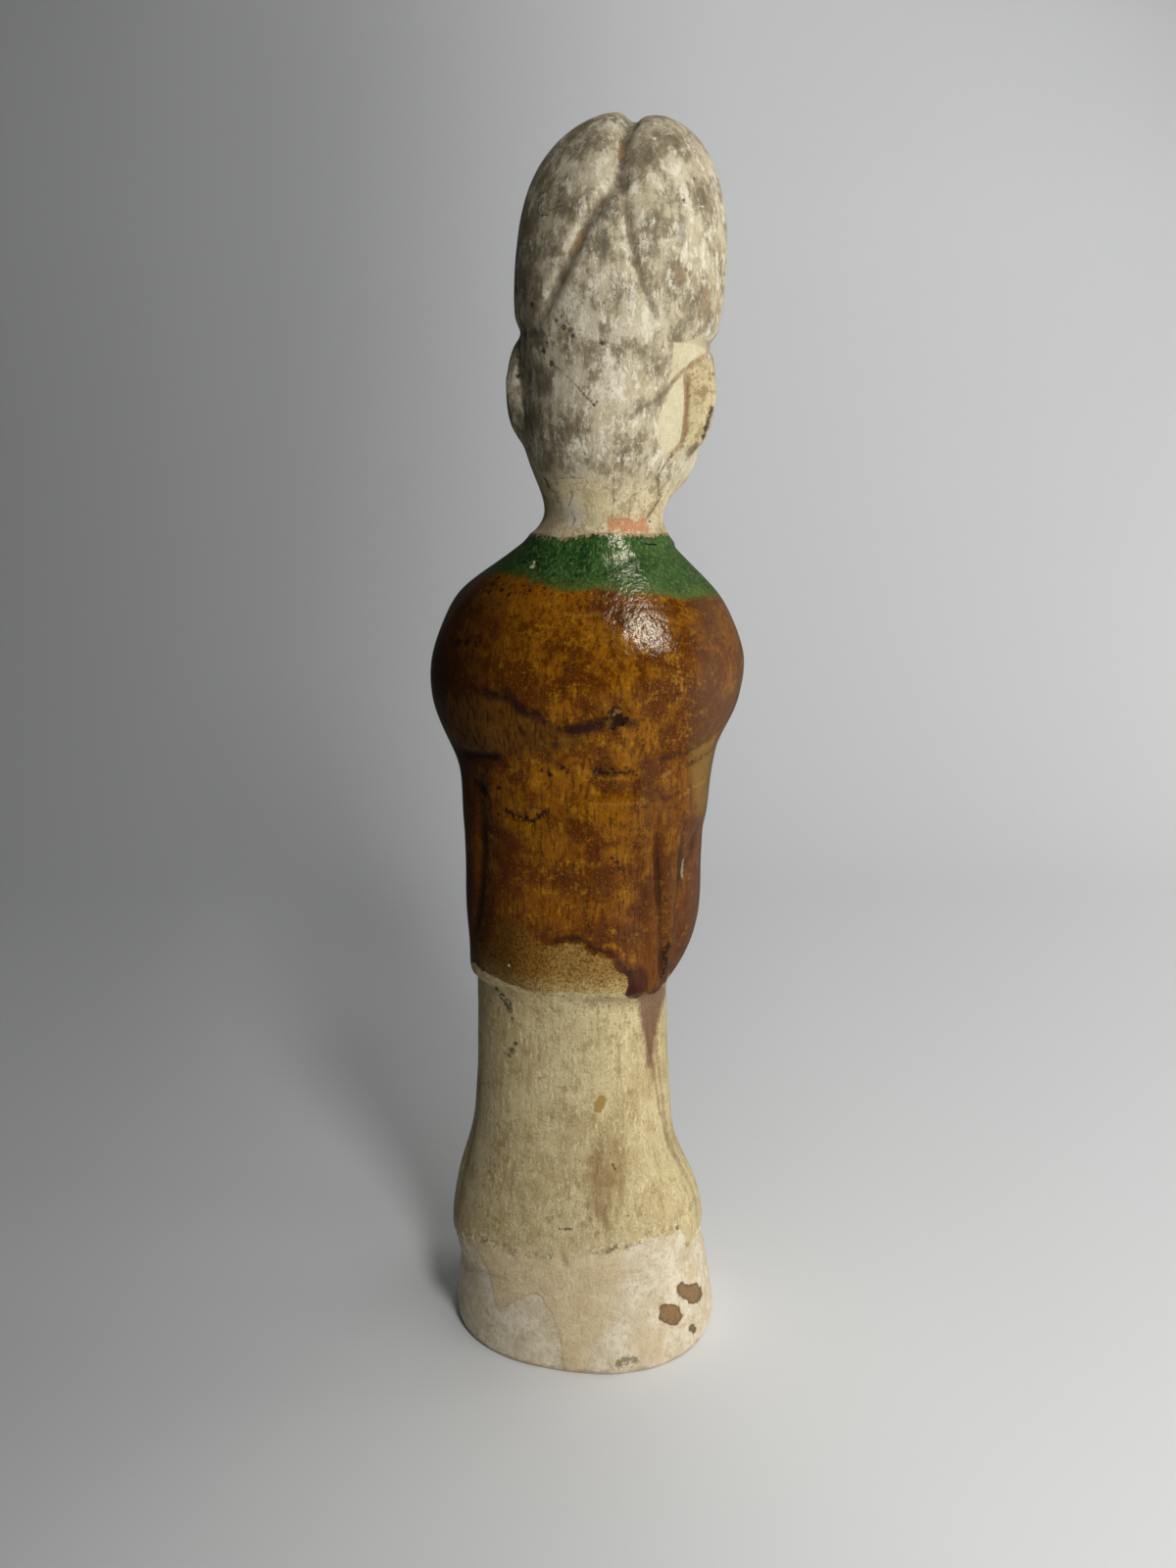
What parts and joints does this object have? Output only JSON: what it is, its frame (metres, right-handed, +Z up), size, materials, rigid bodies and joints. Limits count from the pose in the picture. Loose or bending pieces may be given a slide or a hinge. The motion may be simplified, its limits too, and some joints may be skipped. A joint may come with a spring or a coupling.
{
  "type": "tomb attendant figure",
  "caption": "Standing robed attendant with joined hands in hanging sleeves and a tall two-lobed hairstyle, moulded in one piece with a low oval plinth that it stands on.",
  "frame": {"origin": "centre of the plinth's flat underside", "axes": "+Z up along the figure, -Y the way the figure faces, +X towards the figure's left hand"},
  "size_m": [0.1118, 0.0918, 0.4411],
  "materials": {
    "earthenware": "amber, green and cream lead glaze on the robe, bare white slip on the head and plinth, worn and crackled"
  },
  "bodies": {
    "root": {"attendant": "earthenware"}
  },
  "joints": []
}
